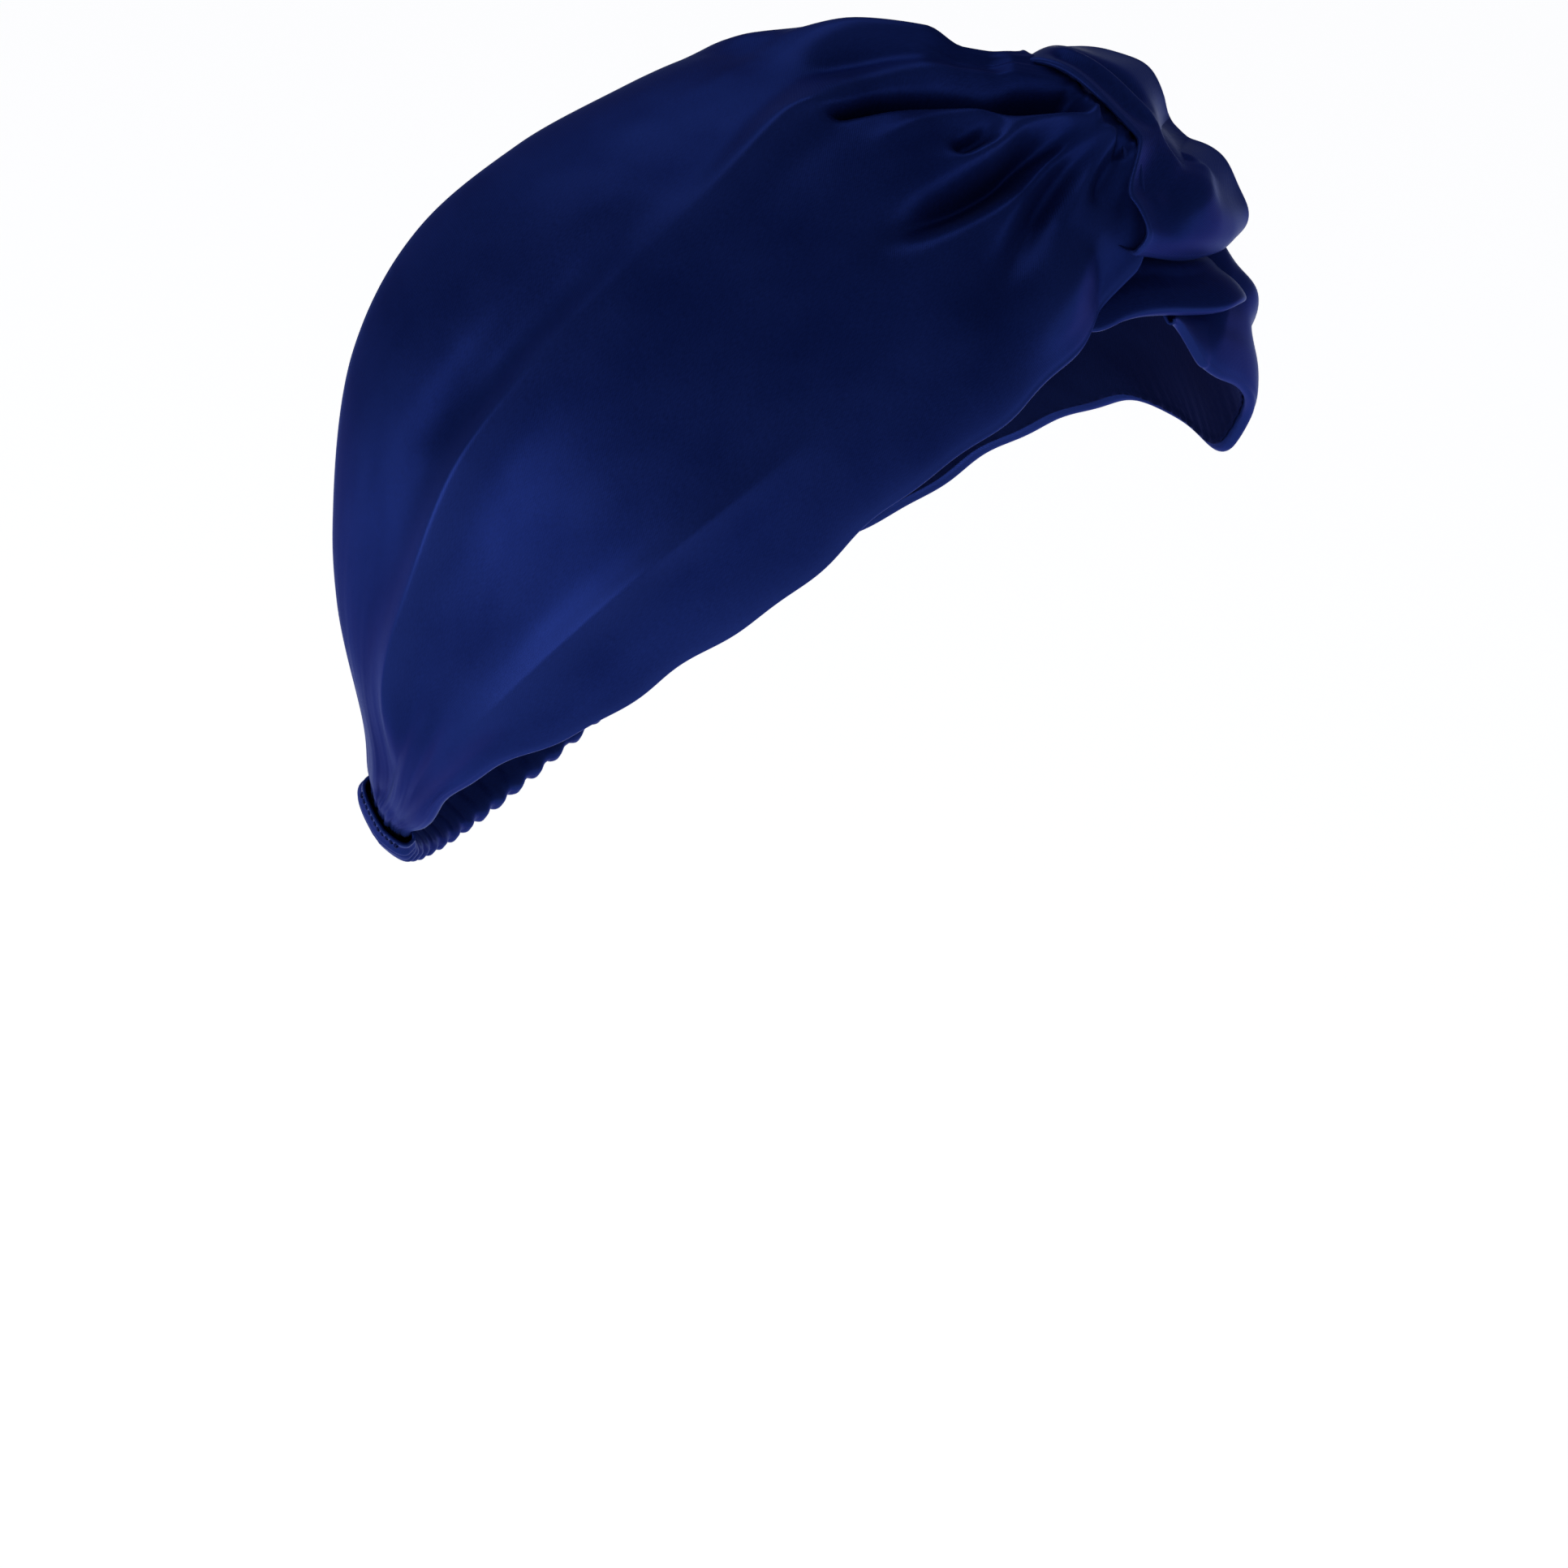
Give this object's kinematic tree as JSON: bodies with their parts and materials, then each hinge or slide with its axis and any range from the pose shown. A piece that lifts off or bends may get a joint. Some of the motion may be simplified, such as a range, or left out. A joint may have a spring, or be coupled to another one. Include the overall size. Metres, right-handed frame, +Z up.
{
  "type": "knotted headband",
  "caption": "Wide lined satin headband that gathers into a twisted knot at the top front and closes at the nape with an elastic strip in a ruched casing.",
  "frame": {"origin": "centre of the head opening, where the middle of the wearer's head sits", "axes": "+Z up, -Y the way the wearer faces, -X the wearer's right; the knot is at the top front and the elastic at the lower back"},
  "size_m": [0.1728, 0.1657, 0.1691],
  "materials": {
    "satin": "satin weave with a soft broad sheen",
    "lining": "satin weave, slightly duller",
    "elastic": "ribbed woven elastic, matte",
    "thread": "spun polyester thread"
  },
  "bodies": {
    "left_half": {"left_outer_panel": "satin", "left_lining": "lining", "left_gathered_end": "satin", "left_end_seam": "thread", "knot_upper_loop": "satin", "knot_lower_loop": "satin", "knot_tack": "thread", "right_gathered_end": "satin", "nape_casing": "satin", "nape_elastic": "elastic"},
    "right_half": {"right_outer_panel": "satin", "right_lining": "lining", "right_end_seam": "thread"}
  },
  "joints": [
    {"name": "nape_stretch", "type": "hinge", "parent": "left_half", "child": "right_half", "pos_m": [-0.012, -0.0695, 0.067], "axis": [0, 0.7431, 0.6691], "range_deg": [-8, 12], "stiffness_Nm_per_rad": 3, "deforming": ["nape_casing", "nape_elastic"]}
  ]
}
